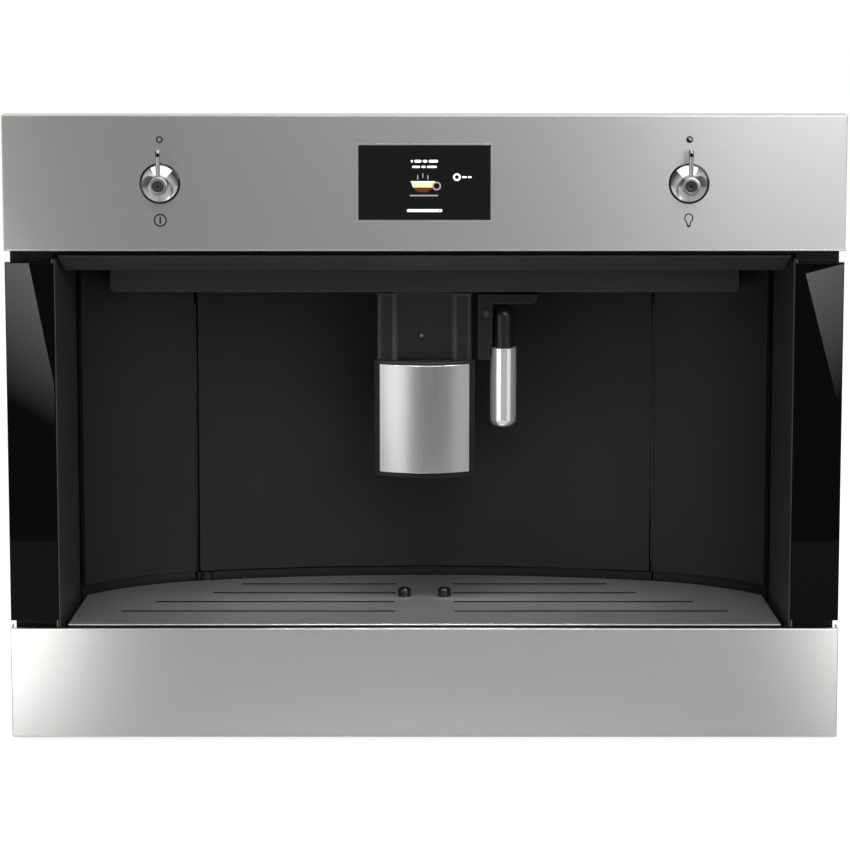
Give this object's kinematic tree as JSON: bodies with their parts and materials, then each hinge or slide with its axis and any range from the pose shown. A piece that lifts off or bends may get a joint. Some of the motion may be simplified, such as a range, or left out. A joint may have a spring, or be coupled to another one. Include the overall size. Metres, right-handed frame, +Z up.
{
  "type": "built-in coffee machine",
  "caption": "Built-in automatic coffee machine with steel panels, an open cup niche with curved back, height-adjustable spout, hot-water wand and lever selectors, on pull-out rails.",
  "frame": {"origin": "middle of the machine's footprint on the cabinet shelf, at the underside of the shelf plate", "axes": "+X to the viewer's right, +Y back into the cabinet, +Z up"},
  "size_m": [0.597, 0.4046, 0.455],
  "materials": {
    "brushed_steel": "brushed satin",
    "polished_chrome": "polished",
    "grid_steel": "satin",
    "black_glass": "gloss black back-painted glass",
    "display_glass": "gloss",
    "black_satin_plastic": "satin",
    "dark_grey_plastic": "satin",
    "gloss_black_plastic": "gloss",
    "lamp_diffuser": "frosted",
    "galvanised_sheet": "zinc coated",
    "zinc_slide": "bright zinc",
    "screw_steel": "zinc plated",
    "tank_plastic": "smoked clear",
    "hopper_plastic": "smoked clear",
    "white_plastic": "matte",
    "cast_aluminium": "as cast",
    "burr_steel": "ground",
    "motor_steel": "satin",
    "silicone_hose": "matte",
    "circuit_board": "solder mask"
  },
  "bodies": {
    "cabinet_rails": {"shelf_plate": "galvanised_sheet", "slides_outer": "zinc_slide"},
    "rail_middles": {"slides_middle": "zinc_slide"},
    "door": {"service_door": "dark_grey_plastic", "spout_guide": "black_satin_plastic", "wand_bracket": "black_satin_plastic"},
    "spout": {"spout_slider": "black_satin_plastic", "spout_face": "brushed_steel"},
    "wand": {"wand_sleeve": "black_satin_plastic", "wand_tube": "polished_chrome"},
    "drip_drawer": {"bottom_panel": "brushed_steel", "drawer_carrier": "black_satin_plastic", "drip_tray": "black_satin_plastic", "cup_grid": "grid_steel", "grid_studs": "gloss_black_plastic"},
    "left_plunger": {"left_knob_plunger": "black_satin_plastic"},
    "right_plunger": {"right_knob_plunger": "black_satin_plastic"},
    "left_selector": {"left_knob": "polished_chrome"},
    "right_selector": {"right_knob": "polished_chrome"},
    "tank": {"water_tank": "tank_plastic", "tank_lid": "black_satin_plastic"},
    "hopper_flap": {"hopper_lid": "black_satin_plastic"},
    "fineness_dial": {"grind_dial": "black_satin_plastic"},
    "burr": {"grinder_burr": "burr_steel"},
    "piston": {"brew_piston": "white_plastic"},
    "rocker": {"rocker_switch": "gloss_black_plastic"},
    "machine": {"back_panels": "dark_grey_plastic", "base_pan": "galvanised_sheet", "bean_hopper": "hopper_plastic", "brew_frame": "white_plastic", "case_screws": "screw_steel", "control_board": "circuit_board", "display_glass": "display_glass", "door_magnet": "white_plastic", "door_pins": "screw_steel", "front_frame": "black_satin_plastic", "glass_panels": "black_glass", "grinder_housing": "black_satin_plastic", "grinder_motor": "motor_steel", "grounds_bin": "black_satin_plastic", "hoses": "silicone_hose", "inner_chassis": "galvanised_sheet", "knob_encoders": "white_plastic", "knob_rosettes": "polished_chrome", "left_side_panel": "galvanised_sheet", "mains_inlet": "black_satin_plastic", "niche_floor": "black_satin_plastic", "niche_header": "dark_grey_plastic", "niche_lamps": "lamp_diffuser", "niche_walls": "dark_grey_plastic", "power_board": "circuit_board", "pump": "motor_steel", "rear_panel": "galvanised_sheet", "right_side_panel": "galvanised_sheet", "slides_inner": "zinc_slide", "tank_shelf": "white_plastic", "thermoblock": "cast_aluminium", "top_cover": "galvanised_sheet", "top_panel": "brushed_steel", "visor": "dark_grey_plastic"}
  },
  "joints": [
    {"name": "machine_slide", "type": "slide", "parent": "cabinet_rails", "child": "machine", "axis": [0, -1, 0], "range_m": [0, 0.3]},
    {"name": "rail_middle_slide", "type": "slide", "parent": "cabinet_rails", "child": "rail_middles", "axis": [0, -1, 0], "range_m": [0, 0.15]},
    {"name": "door_hinge", "type": "hinge", "parent": "machine", "child": "door", "pos_m": [-0.16624, -0.03206, 0.2025], "axis": [0, 0, -1], "range_deg": [0, 75]},
    {"name": "spout_height", "type": "slide", "parent": "door", "child": "spout", "axis": [0, 0, 1], "range_m": [0, 0.045]},
    {"name": "wand_swing", "type": "hinge", "parent": "door", "child": "wand", "pos_m": [0.0583, -0.08575, 0.298], "axis": [-1, 0, 0], "range_deg": [0, 30]},
    {"name": "drip_drawer_slide", "type": "slide", "parent": "machine", "child": "drip_drawer", "axis": [0, -1, 0], "range_m": [0, 0.13]},
    {"name": "left_knob_press", "type": "slide", "parent": "machine", "child": "left_plunger", "axis": [0, 1, 0], "range_m": [0, 0.0025], "stiffness_N_per_m": 600},
    {"name": "left_knob_turn", "type": "hinge", "parent": "left_plunger", "child": "left_selector", "pos_m": [-0.1871, -0.20225, 0.4066], "axis": [0, 1, 0], "range_deg": [-35, 35], "stiffness_Nm_per_rad": 0.05},
    {"name": "right_knob_press", "type": "slide", "parent": "machine", "child": "right_plunger", "axis": [0, 1, 0], "range_m": [0, 0.0025], "stiffness_N_per_m": 600},
    {"name": "right_knob_turn", "type": "hinge", "parent": "right_plunger", "child": "right_selector", "pos_m": [0.1871, -0.20225, 0.4066], "axis": [0, 1, 0], "range_deg": [-35, 35], "stiffness_Nm_per_rad": 0.05},
    {"name": "tank_slide", "type": "slide", "parent": "machine", "child": "tank", "axis": [1, 0, 0], "range_m": [0, 0.11]},
    {"name": "hopper_lid_hinge", "type": "hinge", "parent": "machine", "child": "hopper_flap", "pos_m": [-0.07, 0.16555, 0.4181], "axis": [-1, 0, 0], "range_deg": [0, 100]},
    {"name": "grind_dial_turn", "type": "hinge", "parent": "machine", "child": "fineness_dial", "pos_m": [0.045, 0.08625, 0.415], "axis": [0, 0, 1], "range_deg": [-120, 120]},
    {"name": "burr_spin", "type": "hinge", "parent": "machine", "child": "burr", "pos_m": [-0.07, 0.08625, 0.294], "axis": [0, 0, 1], "continuous": true},
    {"name": "brew_piston_slide", "type": "slide", "parent": "machine", "child": "piston", "axis": [0, 0, 1], "range_m": [0, 0.035]},
    {"name": "mains_rocker", "type": "hinge", "parent": "machine", "child": "rocker", "pos_m": [-0.202, 0.19925, 0.07], "axis": [-1, 0, 0], "range_deg": [0, 16]}
  ],
  "couplings": [
    {"joint": "rail_middle_slide", "follows": "machine_slide", "ratio": 0.5}
  ]
}
